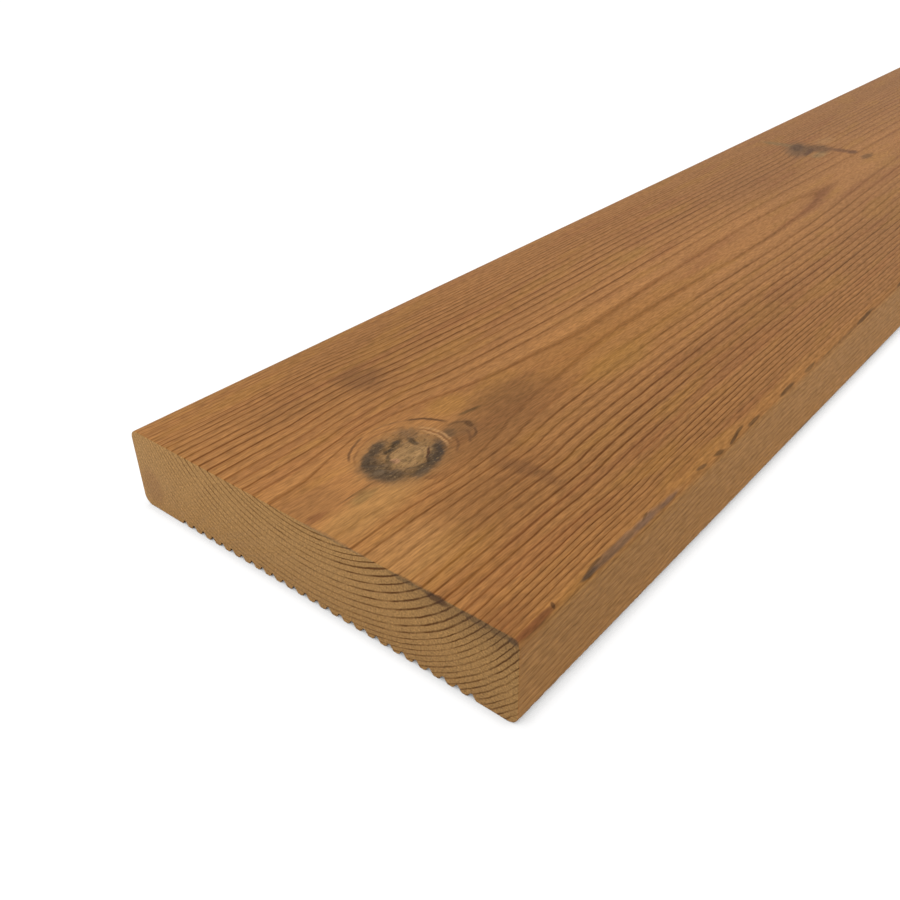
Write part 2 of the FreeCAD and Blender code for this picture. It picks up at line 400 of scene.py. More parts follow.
def blank_board():
    """Board with a flat underside: a fine mesh above and round the sides, a coarser one beneath."""
    run = run_of_stations()
    upper = upper_columns()
    under = under_columns()
    last = len(run) - 1
    coarse = sorted({*range(0, last, UNDERSIDE_SKIP), *range(END_EASE_STEPS + 1),
                     *range(last - END_EASE_STEPS, last + 1)})

    points = []

    def point(station, column):
        u, inset = run[station]
        y, z, out_y, out_z = column
        points.append(((u - LENGTH / 2) * MM, (y - out_y * inset) * MM, (z - out_z * inset) * MM))
        return len(points) - 1

    above = [[point(i, column) for column in upper] for i in range(last + 1)]
    below = {i: [above[i][-1]] + [point(i, c) for c in under[1:-1]] + [above[i][0]] for i in coarse}

    girth_above = girths(upper)
    girth_below = girths(under)
    side_end = 1 + ARC_CELLS + SIDE_CELLS
    side_girth = girth_above[side_end]
    spans = {
        "left": (0, side_girth),
        "top": (side_girth, girth_above[-1] - side_girth),
        "right": (girth_above[-1] - side_girth, girth_above[-1]),
        "under": (0, girth_below[-1]),
    }
    rows, base = texture_rows(spans)
    parts_of = {name: parts for name, parts, _ in STRIPS}

    faces = []
    corners = []

    def strip_corner(name, part, station, girth):
        row, along, around = rows[name, part]
        start = part * LENGTH / parts_of[name]
        return (
            (ATLAS_GAP + (run[station][0] - start) * along) / ATLAS,
            (row + (girth - spans[name][0]) * around) / ATLAS,
        )

    def part_at(name, station):
        return min(int((run[station][0] + 1e-6) * parts_of[name] / LENGTH), parts_of[name] - 1)

    for i in range(last):
        for j in range(len(upper) - 1):
            if j < side_end:
                name = "left"
            elif j < len(upper) - 1 - side_end:
                name = "top"
            else:
                name = "right"
            part = part_at(name, i)
            round_face = [(i, j), (i, j + 1), (i + 1, j + 1), (i + 1, j)]
            faces.append([above[a][b] for a, b in round_face])
            corners.append([strip_corner(name, part, a, girth_above[b]) for a, b in round_face])

    for a, b in zip(coarse, coarse[1:]):
        for j in range(1, len(under) - 2):
            round_face = [(a, j), (a, j + 1), (b, j + 1), (b, j)]
            faces.append([below[s][c] for s, c in round_face])
            corners.append([strip_corner("under", 0, s, girth_below[c]) for s, c in round_face])
        # Fans that join the coarse mesh to the fine one on each flat land
        middle = (a + b) // 2
        for border, inner in ((0, 1), (len(under) - 1, len(under) - 2)):
            edge = {s: above[s][-1] if border == 0 else above[s][0] for s in range(a, b + 1)}
            fans = [((a, inner), (s + 1, border), (s, border)) for s in range(a, middle)]
            fans += [((a, inner), (b, inner), (middle, border))]
            fans += [((b, inner), (s + 1, border), (s, border)) for s in range(middle, b)]
            for fan in fans:
                ordered = fan if border == 0 else fan[::-1]
                faces.append([edge[s] if c == border else below[s][c] for s, c in ordered])
                corners.append([strip_corner("under", 0, s, girth_below[c]) for s, c in ordered])

    # Sawn ends
    for station, shift in ((0, 0), (last, WIDTH + ATLAS_GAP)):
        loop = above[station] + below[station][1:-1]
        flat = end_corners(upper + under[1:-1], run[station][1], base, shift)
        way = -1 if station == 0 else 1
        faces.append(loop[::way])
        corners.append(flat[::way])
    return board_mesh(points, faces, corners)


def patches(tree, place, along, across, seed, detail=1.0, roughness=0.5):
    """Irregular patches of about the given size in mm, from 0 to 1 with 0.5 as the mean."""
    own_units = put(tree, VECTOR_MATH, place, (1 / along, 1 / across, 1 / across),
                    (seed, seed, seed), operation="MULTIPLY_ADD")
    return put(tree, "ShaderNodeTexNoise", own_units,
               sockets={"Scale": 1.0, "Detail": detail, "Roughness": roughness})


def groove_height(tree, given, away):
    """Height of the groove's surface above the underside, away from the groove's middle."""
    # Flank that touches the rounding of the rib edge and that of the groove's bottom
    half_mouth = put(tree, MATH, given["Groove mouth"], 0.5, operation="MULTIPLY")
    radii = put(tree, MATH, given["Rib radius"], given["Root radius"], operation="ADD")
    rise = put(tree, MATH, given["Groove depth"], radii, operation="SUBTRACT")
    slant = put(tree, MATH, rise, half_mouth, operation="ARCTAN2")
    square = put(tree, MATH, rise, rise, operation="MULTIPLY")
    square = put(tree, MATH, half_mouth, half_mouth, square, operation="MULTIPLY_ADD")
    reach = put(tree, MATH, square, operation="SQRT")
    ratio = put(tree, MATH, radii, reach, operation="DIVIDE")
    opening = put(tree, MATH, ratio, operation="ARCCOSINE")
    lean = put(tree, MATH, opening, slant, operation="SUBTRACT")
    across = put(tree, MATH, lean, operation="COSINE")
    up = put(tree, MATH, lean, operation="SINE")
    down = put(tree, MATH, 1.0, up, operation="SUBTRACT")
    rib_share = put(tree, MATH, given["Rib radius"], across, operation="MULTIPLY")
    edge_y = put(tree, MATH, half_mouth, rib_share, operation="SUBTRACT")
    edge_z = put(tree, MATH, given["Rib radius"], down, operation="MULTIPLY")
    root_y = put(tree, MATH, given["Root radius"], across, operation="MULTIPLY")
    root_drop = put(tree, MATH, given["Root radius"], down, operation="MULTIPLY")
    root_z = put(tree, MATH, given["Groove depth"], root_drop, operation="SUBTRACT")

    # Height of the groove there: its bottom, its flank or the rounded edge of the rib
    root_square = put(tree, MATH, given["Root radius"], given["Root radius"], operation="MULTIPLY")
    away_square = put(tree, MATH, away, away, operation="MULTIPLY")
    root_rest = put(tree, MATH, root_square, away_square, operation="SUBTRACT")
    root_arc = put(tree, MATH, put(tree, MATH, root_rest, 0.0, operation="MAXIMUM"), operation="SQRT")
    root_middle = put(tree, MATH, given["Groove depth"], given["Root radius"], operation="SUBTRACT")
    bottom = put(tree, MATH, root_middle, root_arc, operation="ADD")
    flank = put(tree, RANGE, away, root_y, edge_y, root_z, edge_z)
    from_mouth = put(tree, MATH, half_mouth, away, operation="SUBTRACT")
    from_mouth = put(tree, MATH, from_mouth, 0.0, operation="MAXIMUM")
    mouth_square = put(tree, MATH, from_mouth, from_mouth, operation="MULTIPLY")
    rib_square = put(tree, MATH, given["Rib radius"], given["Rib radius"], operation="MULTIPLY")
    rib_rest = put(tree, MATH, rib_square, mouth_square, operation="SUBTRACT")
    rib_arc = put(tree, MATH, put(tree, MATH, rib_rest, 0.0, operation="MAXIMUM"), operation="SQRT")
    rounded = put(tree, MATH, given["Rib radius"], rib_arc, operation="SUBTRACT")
    in_root = put(tree, MATH, away, root_y, operation="LESS_THAN")
    in_flank = put(tree, MATH, away, edge_y, operation="LESS_THAN")
    height = put(tree, MIX, in_flank, rounded, flank)
    return put(tree, MIX, in_root, height, bottom)


def wear_depth(tree, given, place, downward):
    """Depth of the wear: unevenness everywhere but beneath, the knot and the right arris."""
    seeded = put(tree, VECTOR_MATH, place, given["Seed"], operation="ADD")
    uneven = patches(tree, seeded, 60, 18, 7.0)
    jagged = uneven_place(tree, seeded, 3, 1.5, 12.0)
    jagged = put(tree, VECTOR_MATH, jagged, given["Seed"], operation="SUBTRACT")
    hollow = spot(tree, jagged, *HOLLOW)
    heart = spot(tree, jagged, *HEART)
    grit = patches(tree, seeded, 2.6, 2.0, 3.0, detail=2.0)
    grit = put(tree, RANGE, grit, 0.45, 0.62, 0.0, 1.0, **SOFT)
    ring = put(tree, MATH, hollow, heart, operation="SUBTRACT")
    ring = put(tree, MATH, ring, 0.0, operation="MAXIMUM")
    ring = put(tree, MATH, ring, grit, operation="MULTIPLY")
    knot = put(tree, MATH, ring, given["Knot hollow"], operation="MULTIPLY")
    worn = spot(tree, jagged, *BRUISE)
    arris = put(tree, MATH, worn, given["Arris wear"], operation="MULTIPLY")
    depth = put(tree, MATH, uneven, given["Unevenness"], knot, operation="MULTIPLY_ADD")
    depth = put(tree, MATH, depth, arris, operation="ADD")
    side = put(tree, MATH, 1.0, downward, operation="SUBTRACT")
    return put(tree, MATH, depth, side, operation="MULTIPLY")


def ribbing_and_relief(material):
    """Geometry nodes that cut the grooves into the underside and wear the surface."""
    tree = bpy.data.node_groups.new("ribbing_and_relief", "GeometryNodeTree")
    tree.interface.new_socket("Geometry", in_out="INPUT", socket_type="NodeSocketGeometry")
    first, last = groove_places()
    sizes = {
        "Groove pitch": GROOVE_PITCH, "Groove depth": GROOVE_DEPTH, "Groove mouth": GROOVE_MOUTH,
        "Rib radius": RIB_RADIUS, "Root radius": ROOT_RADIUS, "First groove": first,
        "Last groove": last, "Knot hollow": KNOT_HOLLOW, "Arris wear": ARRIS_WEAR,
        "Unevenness": UNEVENNESS, "Seed": 4,
    }
    for name in sizes:
        tree.interface.new_socket(name, in_out="INPUT", socket_type="NodeSocketFloat")
    tree.interface.new_socket("Material", in_out="INPUT", socket_type="NodeSocketMaterial")
    tree.interface.new_socket("Geometry", in_out="OUTPUT", socket_type="NodeSocketGeometry")
    given = put(tree, "NodeGroupInput").outputs

    metres = put(tree, "GeometryNodeInputPosition")
    place = put(tree, VECTOR_MATH, metres, MM_PER_METRE, (LENGTH / 2, 0, 0),
                operation="MULTIPLY_ADD")
    axes = put(tree, "ShaderNodeSeparateXYZ", place).outputs

    # Distance from the middle of the nearest groove
    from_first = put(tree, MATH, given["First groove"], axes["Y"], operation="SUBTRACT")
    half_pitch = put(tree, MATH, given["Groove pitch"], 0.5, operation="MULTIPLY")
    shifted = put(tree, MATH, from_first, half_pitch, operation="ADD")
    wrapped = put(tree, MATH, shifted, given["Groove pitch"], operation="FLOORED_MODULO")
    signed = put(tree, MATH, wrapped, half_pitch, operation="SUBTRACT")
    away = put(tree, MATH, signed, operation="ABSOLUTE")
    height = groove_height(tree, given, away)

    # Only the underside, and only from the first groove to the last
    facing = put(tree, "ShaderNodeSeparateXYZ", put(tree, "GeometryNodeInputNormal")).outputs["Z"]
    beneath = put(tree, MATH, axes["Z"], 1.0, operation="LESS_THAN")
    downward = put(tree, MATH, facing, -0.5, operation="LESS_THAN")
    outside = put(tree, MATH, half_pitch, -1.0, operation="MULTIPLY")
    beyond_first = put(tree, MATH, from_first, outside, operation="GREATER_THAN")
    to_last = put(tree, MATH, axes["Y"], given["Last groove"], operation="SUBTRACT")
    before_last = put(tree, MATH, to_last, outside, operation="GREATER_THAN")
    ribbed = put(tree, MATH, beyond_first, before_last, operation="MULTIPLY")
    ribbed = put(tree, MATH, ribbed, beneath, operation="MULTIPLY")
    lift = put(tree, MATH, height, ribbed, operation="MULTIPLY")
    lift = put(tree, MATH, lift, MM, operation="MULTIPLY")
    raised = put(tree, "GeometryNodeSetPosition", given["Geometry"],
                 sockets={"Offset": put(tree, "ShaderNodeCombineXYZ", 0.0, 0.0, lift)})

    # Wear, always into the wood
    depth = wear_depth(tree, given, place, downward)
    inwards = put(tree, MATH, depth, -MM, operation="MULTIPLY")
    normal = put(tree, "GeometryNodeInputNormal")
    push = put(tree, VECTOR_MATH, normal, sockets={"Scale": inwards}, operation="SCALE")
    worn_board = put(tree, "GeometryNodeSetPosition", raised, sockets={"Offset": push})

    real = put(tree, "GeometryNodeRealizeInstances", worn_board)
    finished = put(tree, "GeometryNodeSetMaterial", real, sockets={"Material": given["Material"]})
    put(tree, "NodeGroupOutput", finished)
    return tree, {**sizes, "Material": material}


def uneven_place(tree, place, size, amount, seed):
    """Place moved to and fro by noise, so that outlines drawn with it are uneven."""
    along = patches(tree, place, 2 * size, size, seed, detail=2.0, roughness=0.6)
    across = patches(tree, place, 2 * size, size, seed + 3.5, detail=2.0, roughness=0.6)
    swing = put(tree, "ShaderNodeCombineXYZ", along, across, 0.5)
    middle = put(tree, VECTOR_MATH, swing, (0.5, 0.5, 0.5), operation="SUBTRACT")
    return put(tree, VECTOR_MATH, middle, (4 * amount, 2 * amount, 0), place,
               operation="MULTIPLY_ADD")


def spot_group(kind):
    """Node group for one mark: its share at a place, from its middle and three scaled axes."""
    group = bpy.data.node_groups.get("spot_" + kind)
    if group:
        return group
    group = bpy.data.node_groups.new("spot_" + kind, kind)
    for name in ("Place", "Middle", "Along", "Across", "Through"):
        group.interface.new_socket(name, in_out="INPUT", socket_type="NodeSocketVector")
    group.interface.new_socket("Softness", in_out="INPUT", socket_type="NodeSocketFloat")
    group.interface.new_socket("Share", in_out="OUTPUT", socket_type="NodeSocketFloat")
    given = put(group, "NodeGroupInput").outputs
    offset = put(group, VECTOR_MATH, given["Place"], given["Middle"], operation="SUBTRACT")
    square = None
    for name in ("Along", "Across", "Through"):
        part = put(group, VECTOR_MATH, offset, given[name], operation="DOT_PRODUCT")
        part = part.outputs["Value"]
        square = put(group, MATH, part, part, square or 0.0, operation="MULTIPLY_ADD")
    away = put(group, MATH, square, operation="SQRT")
    low = put(group, MATH, 1.0, given["Softness"], operation="SUBTRACT")
    high = put(group, MATH, 1.0, given["Softness"], operation="ADD")
    put(group, "NodeGroupOutput", put(group, RANGE, away, low, high, 1.0, 0.0, **SOFT))
    return group


def spot(tree, place, middle, half, turn=0, softness=0.3):
    """Share of a mark at a place: 1 inside it, 0 well outside."""
    kind = "GeometryNodeGroup" if tree.bl_idname == "GeometryNodeTree" else "ShaderNodeGroup"
    angle = math.radians(turn)
    along = (math.cos(angle) / half[0], math.sin(angle) / half[0], 0)
    across = (-math.sin(angle) / half[1], math.cos(angle) / half[1], 0)
    return put(tree, kind, node_tree=spot_group(tree.bl_idname), sockets={
        "Place": place, "Middle": middle, "Along": along, "Across": across,
        "Through": (0, 0, 1 / half[2]), "Softness": softness,
    })


def arch(tree, place, middle, half, width, toward, spread):
    """Share of a thin curved line: part of an ellipse on the upper face, to both sides of a
    direction."""
    offset = put(tree, VECTOR_MATH, place, (-middle[0], -middle[1], -THICKNESS), operation="ADD")
    ratio = put(tree, VECTOR_MATH, offset, (1 / half[0], 1 / half[1], 0.1), operation="MULTIPLY")
    away = put(tree, VECTOR_MATH, ratio, operation="LENGTH").outputs["Value"]
    from_line = put(tree, MATH, away, 1.0, operation="SUBTRACT")
    from_line = put(tree, MATH, from_line, operation="ABSOLUTE")
    thin = put(tree, RANGE, from_line, 0.2 * width / half[1], 1.4 * width / half[1], 1.0, 0.0, **SOFT)
    angle = math.radians(toward)
    heading = put(tree, VECTOR_MATH, put(tree, VECTOR_MATH, ratio, operation="NORMALIZE"),
                  (math.cos(angle), math.sin(angle), 0), operation="DOT_PRODUCT").outputs["Value"]
    outer = math.cos(math.radians(spread))
    inner = math.cos(math.radians(spread * 0.5))
    in_spread = put(tree, RANGE, heading, outer, inner, 0.0, 1.0, **SOFT)
    return put(tree, MATH, thin, in_spread, operation="MULTIPLY")


# Wood

def follow(tree, value, points):
    """Value that changes smoothly with another, drawn through a few points (value, result)."""
    xs, ys = zip(*points)
    low, high = min(ys), max(ys)
    ratio = put(tree, RANGE, value, xs[0], xs[-1], 0.0, 1.0)
    node = put(tree, "ShaderNodeFloatCurve", 1.0, ratio)
    curve = node.mapping.curves[0]
    spots = [((x - xs[0]) / (xs[-1] - xs[0]), (y - low) / (high - low)) for x, y in points]
    curve.points[0].location = spots[0]
    curve.points[1].location = spots[-1]
    for x, y in spots[1:-1]:
        curve.points.new(x, y)
    for handle in curve.points:
        handle.handle_type = "AUTO_CLAMPED"
    node.mapping.update()
    return put(tree, MATH, node, high - low, low, operation="MULTIPLY_ADD")


def knot_distance(tree, place, axes, knot):
    """Distance from a knot's middle in units of its size, which grows with the depth in the tree."""
    sideways = put(tree, MATH, axes["X"], knot["middle"][0], operation="SUBTRACT")
    sideways = put(tree, MATH, sideways, knot["half"][0], operation="DIVIDE")
    crossways = put(tree, MATH, axes["Y"], knot["middle"][1], operation="SUBTRACT")
    crossways = put(tree, MATH, crossways, knot["half"][1], operation="DIVIDE")
    square = put(tree, MATH, sideways, sideways, operation="MULTIPLY")
    square = put(tree, MATH, crossways, crossways, square, operation="MULTIPLY_ADD")
    away = put(tree, MATH, square, operation="SQRT")
    below = put(tree, MATH, THICKNESS, axes["Z"], operation="SUBTRACT")
    growth = put(tree, MATH, below, 1 / KNOT_GROWTH, 1.0, operation="MULTIPLY_ADD")
    away = put(tree, MATH, away, growth, operation="DIVIDE")
    wobble = patches(tree, place, 14, 9, 11.0)
    return put(tree, MATH, wobble, 0.16, put(tree, MATH, away, 0.08, operation="SUBTRACT"),
               operation="MULTIPLY_ADD")


def bulge(tree, away, knot):
    """How far the rings bend outwards round a knot, in mm."""
    ratio = put(tree, MATH, away, KNOT_REACH, operation="DIVIDE")
    power = put(tree, MATH, put(tree, MATH, ratio, 0.0, operation="MAXIMUM"), 3.0, operation="POWER")
    fall = put(tree, MATH, put(tree, MATH, power, -1.0, operation="MULTIPLY"), operation="EXPONENT")
    return put(tree, MATH, fall, knot["bend"], operation="MULTIPLY")


def tint(tree, colour, share, code, amount=1.0):
    """Lay another colour over a colour where the share says so."""
    part = put(tree, MATH, share, amount, operation="MULTIPLY")
    return put(tree, MIX, part, colour, linear(code), data_type="RGBA")


def rings_within(tree, place, axes):
    """Growth rings between the first one and a place, in fractions of a ring too."""
    u, y, z = axes["X"], axes["Y"], axes["Z"]

    # Pith of the tree: how high it runs above the board, and how far to the left
    pith = follow(tree, u, PITH_HEIGHT)
    pith_side = follow(tree, u, PITH_SIDE)
    taper = follow(tree, u, TAPER)
    far_part = put(tree, RANGE, u, WANDER_FROM, WANDER_TO, 0.0, 1.0, **SOFT)
    wander = patches(tree, place, 420, 900, 2.0)
    wander = put(tree, MATH, wander, 0.5, operation="SUBTRACT")
    wander = put(tree, MATH, wander, far_part, operation="MULTIPLY")
    pith = put(tree, MATH, wander, WANDER, pith, operation="MULTIPLY_ADD")

    # Distance from the pith, with the rings' waviness and their bend round the knots
    slow = put(tree, MATH, patches(tree, place, 130, 30, 1.0), 0.5, operation="SUBTRACT")
    quick = put(tree, MATH, patches(tree, place, 16, 3, 2.5, detail=2.0), 0.5, operation="SUBTRACT")
    aside = put(tree, MATH, y, pith_side, operation="SUBTRACT")
    aside = put(tree, MATH, slow, 1.6, aside, operation="MULTIPLY_ADD")
    aside = put(tree, MATH, quick, 0.7, aside, operation="MULTIPLY_ADD")
    aside_square = put(tree, MATH, aside, aside, operation="MULTIPLY")
    steepness = put(tree, MATH, aside_square, 1 / STEEPENING ** 2, 1.0, operation="MULTIPLY_ADD")
    below = put(tree, MATH, THICKNESS, z, operation="SUBTRACT")
    below = put(tree, MATH, below, steepness, operation="DIVIDE")
    beneath_pith = put(tree, MATH, below, pith, operation="ADD")
    square = put(tree, MATH, beneath_pith, beneath_pith, aside_square, operation="MULTIPLY_ADD")
    radius = put(tree, MATH, square, operation="SQRT")
    near_knot = knot_distance(tree, place, axes, NEAR_KNOT)
    far_knot = knot_distance(tree, place, axes, FAR_KNOT)
    radius = put(tree, MATH, radius, bulge(tree, near_knot, NEAR_KNOT), operation="SUBTRACT")
    radius = put(tree, MATH, radius, bulge(tree, far_knot, FAR_KNOT), operation="SUBTRACT")
    radius = put(tree, MATH, radius, FIRST_RING, operation="SUBTRACT")
    radius = put(tree, MATH, radius, taper, operation="DIVIDE")
    return follow(tree, radius, RINGS_WITHIN)


def ring_lines(tree, place, axes, count):
    """Share of dark wood in the growth rings. Each ring darkens slowly and ends in a thin latewood
    line, which fades into the next ring. What the sawn ends need of the rings comes with it: how
    far through its ring a place is, the ring's own chance and the dark start of the ring."""
    number = put(tree, MATH, count, operation="FLOOR")
    through = put(tree, MATH, count, number, operation="SUBTRACT")
    chance = put(tree, "ShaderNodeTexWhiteNoise", number, noise_dimensions="1D").outputs["Value"]
    darkening = put(tree, RANGE, through, 0.3, 1.0, 0.0, 0.3, **SOFT)
    onset = put(tree, MATH, chance, 0.12, 0.74, operation="MULTIPLY_ADD")
    widest = put(tree, MATH, count, 2.0, operation="LESS_THAN")
    onset = put(tree, MATH, widest, 0.1, onset, operation="MULTIPLY_ADD")
    latewood = put(tree, RANGE, through, onset, 0.97, 0.0, 0.7, **SOFT)
    latewood = put(tree, MATH, latewood, darkening, operation="ADD")
    opening = put(tree, RANGE, through, 0.0, 0.16, 1.0, 0.0, **SOFT)
    later = put(tree, MATH, count, 1.0, operation="GREATER_THAN")
    opening = put(tree, MATH, opening, later, operation="MULTIPLY")
    latewood = put(tree, MATH, latewood, opening, operation="MAXIMUM")
    strength = patches(tree, place, 50, 5, 8.0, detail=2.0)
    strength = put(tree, RANGE, strength, 0.25, 0.75, 0.65, 1.2)
    ring_strength = put(tree, MATH, chance, 0.4, 0.75, operation="MULTIPLY_ADD")
    strength = put(tree, MATH, strength, ring_strength, operation="MULTIPLY")
    edge_fade = follow(tree, axes["Y"], LINES_ACROSS)
    far_fade = put(tree, RANGE, axes["X"], 150, 420, 1.0, 0.7, **SOFT)
    strength = put(tree, MATH, strength, edge_fade, operation="MULTIPLY")
    strength = put(tree, MATH, strength, far_fade, operation="MULTIPLY")
    line = put(tree, MATH, latewood, strength, operation="MULTIPLY")
    return line, through, chance, opening


def planed_wood(tree, place, axes, line, sideward):
    """Planed faces with honey and rosy patches, and sides that are lighter far off and have painted
    floor bounce light low down.
    """
    face = put(tree, MIX, line, linear(FACE_WOOD), linear(FACE_LINE), data_type="RGBA")
    level_across = follow(tree, axes["Y"], FACE_ACROSS)
    level_along = follow(tree, axes["X"], FACE_ALONG)
    level = put(tree, MATH, level_across, level_along, operation="MULTIPLY")
    face = put(tree, SHADE, sockets={"Value": level, "Color": face})
    honey = put(tree, RANGE, patches(tree, place, 40, 7, 21.0), 0.52, 0.7, 0.0, 1.0, **SOFT)
    face = tint(tree, face, honey, "#A37430", 0.3)
    rosy = put(tree, RANGE, patches(tree, place, 50, 6, 27.0), 0.52, 0.7, 0.0, 1.0, **SOFT)
    face = tint(tree, face, rosy, "#8C532E", 0.25)
    side = put(tree, MIX, line, linear(SIDE_WOOD), linear(SIDE_LINE), data_type="RGBA")
    side_along = follow(tree, axes["X"], SIDE_ALONG)
    side = put(tree, SHADE, sockets={"Value": side_along, "Color": side})
    # Painted light bounced from the floor: the sides lighter towards their foot
    painted_floor_bounce = put(tree, RANGE, axes["Z"], 2, 12, 1.12, 1.0, **SOFT)
    side = put(tree, SHADE, sockets={"Value": painted_floor_bounce, "Color": side})
    return put(tree, MIX, sideward, face, side, data_type="RGBA")


def with_marks(tree, face, place, coarse, fine, bent):
    """Marks above: stains, the knots with their bark, and the lines round the near knot."""
    speckle = patches(tree, place, 1.3, 0.8, 41.0, detail=2.0, roughness=0.7)
    marks = [(coarse, 0.6, *mark) for mark in STAINS]
    marks += [(fine, 0.5, *mark) for mark in KNOT_SHADES]
    marks += [(bent, 0.45, *mark) for mark in KNOT_DETAILS]
    for uneven, softness, code, share, middle, half, turn in marks:
        here = spot(tree, uneven, (*middle, THICKNESS), (*half, 7), turn, softness)
        face = tint(tree, face, here, code, share)
    for code, share, middle, half, width, toward, spread in KNOT_ARCS:
        here = arch(tree, bent, middle, half, width, toward, spread)
        face = tint(tree, face, here, code, share)
    bark = spot(tree, fine, (*NEAR_KNOT["middle"], THICKNESS), (14, 10.5, 7), 10, 0.3)
    dark_specks = put(tree, RANGE, speckle, 0.54, 0.64, 0.0, 1.0, **SOFT)
    dark_specks = put(tree, MATH, bark, dark_specks, operation="MULTIPLY")
    face = tint(tree, face, dark_specks, "#392A1A", 0.42)
    pale_specks = put(tree, RANGE, speckle, 0.34, 0.42, 1.0, 0.0, **SOFT)
    pale_specks = put(tree, MATH, bark, pale_specks, operation="MULTIPLY")
    return tint(tree, face, pale_specks, "#A8875A", 0.35)


def with_groove_shade_and_grime(tree, face, axes):
    """Painted shade, partly grime too, deep in the grooves, and none on the ribs."""
    shade_and_grime = put(tree, RANGE, axes["Z"], 0.1, 0.9, 0.0, 1.0, **SOFT)
    beneath = put(tree, RANGE, axes["Z"], 2.0, 2.4, 1.0, 0.0, **SOFT)
    shade_and_grime = put(tree, MATH, shade_and_grime, beneath, operation="MULTIPLY")
    aside = put(tree, MATH, axes["Y"], operation="ABSOLUTE")
    inside = put(tree, RANGE, aside, 60, 63, 1.0, 0.0, **SOFT)
    shade_and_grime = put(tree, MATH, shade_and_grime, inside, operation="MULTIPLY")
    # Painted shade deep in the grooves, partly grime, in a dark brown
    return tint(tree, face, shade_and_grime, "#33241A", 0.9)


def sawn_wood(tree, place, axes, through, chance, opening):
    """Sawn ends: the same rings seen across, as thin dark lines on a greyer tan."""
    y, z = axes["Y"], axes["Z"]
    end_onset = put(tree, MATH, chance, 0.22, 0.66, operation="MULTIPLY_ADD")
    end_line = put(tree, RANGE, through, end_onset, 0.95, 0.0, 1.0, **SOFT)
    end_line = put(tree, MATH, end_line, opening, operation="MAXIMUM")
    broken = patches(tree, place, 9, 7, 61.0, detail=2.0)
    broken = put(tree, RANGE, broken, 0.3, 0.7, 0.35, 1.15)
    end_line = put(tree, MATH, end_line, broken, operation="MULTIPLY")
    end_contrast = follow(tree, y, END_LINES_ACROSS)
    end_line = put(tree, MATH, end_line, end_contrast, operation="MULTIPLY")
    clearer = put(tree, RANGE, z, 8, 25, 0.88, 1.45, **SOFT)
    end_line = put(tree, MATH, end_line, clearer, operation="MULTIPLY")
    end = put(tree, MIX, end_line, linear(END_WOOD), linear(END_LINE), data_type="RGBA")
    end_across = follow(tree, y, END_ACROSS)
    end = put(tree, SHADE, sockets={"Value": end_across, "Color": end})
    pores = patches(tree, place, 1.2, 0.6, 51.0, detail=2.0, roughness=0.7)
    pores = put(tree, RANGE, pores, 0.3, 0.7, 0.78, 1.22)
    end = put(tree, SHADE, sockets={"Value": pores, "Color": end})
    upper_right = put(tree, RANGE, y, -20, -52, 0.0, 1.0, **SOFT)
    near_top = put(tree, RANGE, z, 15, 26, 0.0, 1.0, **SOFT)
    upper_right = put(tree, MATH, upper_right, near_top, operation="MULTIPLY")
    return tint(tree, end, upper_right, "#5F4830", 0.4)


def heat_treated_pine():
    """Heat-treated pine, planed: toasted tan, satin-dry, with the growth rings cut lengthwise on
    the faces and across at the ends, a tight knot ringed by dark bark, and short fibre flecks."""
    material = bpy.data.materials.new("heat_treated_pine_planed")
    material.use_nodes = True
    tree = material.node_tree
    tree.nodes.clear()

    coordinates = put(tree, "ShaderNodeTexCoord")
    place = put(tree, VECTOR_MATH, coordinates.outputs["Object"], MM_PER_METRE,
                (LENGTH / 2, 0, 0), operation="MULTIPLY_ADD")
    axes = put(tree, "ShaderNodeSeparateXYZ", place).outputs
    place = put(tree, "ShaderNodeCombineXYZ", axes["X"], axes["Y"], axes["Z"])
    facing = put(tree, "ShaderNodeSeparateXYZ", coordinates.outputs["Normal"]).outputs
    endward = put(tree, MATH, facing["X"], operation="ABSOLUTE")
    end_grain = put(tree, RANGE, endward, 0.6, 0.85, 0.0, 1.0, **SOFT)
    sideward = put(tree, MATH, facing["Y"], operation="ABSOLUTE")
    sideward = put(tree, RANGE, sideward, 0.75, 0.97, 0.0, 1.0, **SOFT)

    count = rings_within(tree, place, axes)
    line, through, chance, opening = ring_lines(tree, place, axes, count)
    face = planed_wood(tree, place, axes, line, sideward)

    # Marks, each drawn with an outline that is uneven in a coarse, a fine or a gently bent way
    coarse = uneven_place(tree, place, 9, 3.5, 5.0)
    fine = uneven_place(tree, place, 1.6, 1.0, 12.0)
    bent = uneven_place(tree, place, 4, 0.5, 16.0)
    face = with_marks(tree, face, place, coarse, fine, bent)
    # Painted shade deep in the grooves, partly grime
    face = with_groove_shade_and_grime(tree, face, axes)
    end = sawn_wood(tree, place, axes, through, chance, opening)
    colour = put(tree, MIX, end_grain, face, end, data_type="RGBA")
    for code, share, middle, half, turn in EDGE_MARKS:
        here = spot(tree, bent, middle, half, turn)
        colour = tint(tree, colour, here, code, share)

    # Fibre flecks, short light and dark dashes along the grain
    fleck = patches(tree, place, 4, 0.55, 31.0, detail=2.0, roughness=0.6)
    fleck = put(tree, RANGE, fleck, 0.3, 0.7, 0.76, 1.24)
    colour = put(tree, SHADE, sockets={"Value": fleck, "Color": colour})
    streak = patches(tree, place, 45, 1.4, 37.0, detail=2.0)
    streak = put(tree, RANGE, streak, 0.3, 0.7, 0.93, 1.07)
    colour = put(tree, SHADE, sockets={"Value": streak, "Color": colour})

    rough = put(tree, RANGE, fleck, 0.76, 1.24, 0.66, 0.54)
    bump = put(tree, "ShaderNodeBump", sockets={"Strength": 0.35, "Distance": 0.0001,
                                                "Height": fleck})
    shader = put(tree, "ShaderNodeBsdfPrincipled", sockets={
        "Base Color": colour, "Roughness": rough, "Normal": bump, "IOR": 1.45,
        "Specular IOR Level": 0.15,
    })
    put(tree, "ShaderNodeOutputMaterial", shader)
    return material


